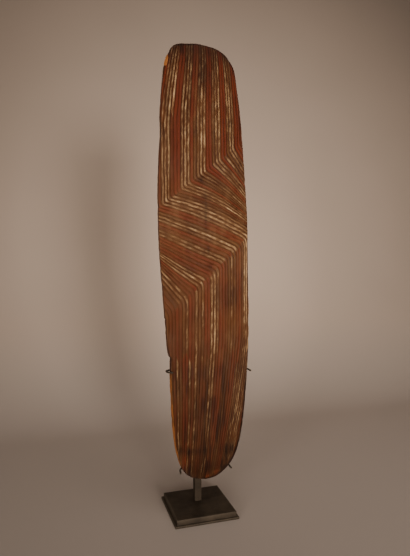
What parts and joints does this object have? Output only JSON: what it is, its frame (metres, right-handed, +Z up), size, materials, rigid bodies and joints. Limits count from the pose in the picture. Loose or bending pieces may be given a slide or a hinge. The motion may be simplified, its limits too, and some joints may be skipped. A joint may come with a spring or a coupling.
{
  "type": "carved shield on a display stand",
  "caption": "Long narrow wooden shield carved with painted zigzag flutes, held upright by a square metal plinth, a post and two bent rod arms.",
  "frame": {"origin": "centre of the plinth's underside, on the surface that it stands on", "axes": "+Z up along the post; the shield's carved front faces -Y; +X to the right seen from the front"},
  "size_m": [0.1792, 0.12, 0.8733],
  "materials": {
    "painted_wood": "dark red-brown wood with worn cream and red ochre stripes in its flutes, bare where the rim has split",
    "blackened_metal": "blackened, satin, slightly rubbed"
  },
  "bodies": {
    "root": {"shield": "painted_wood", "plinth": "blackened_metal", "post": "blackened_metal", "upper_arm": "blackened_metal", "lower_arm": "blackened_metal"}
  },
  "joints": []
}
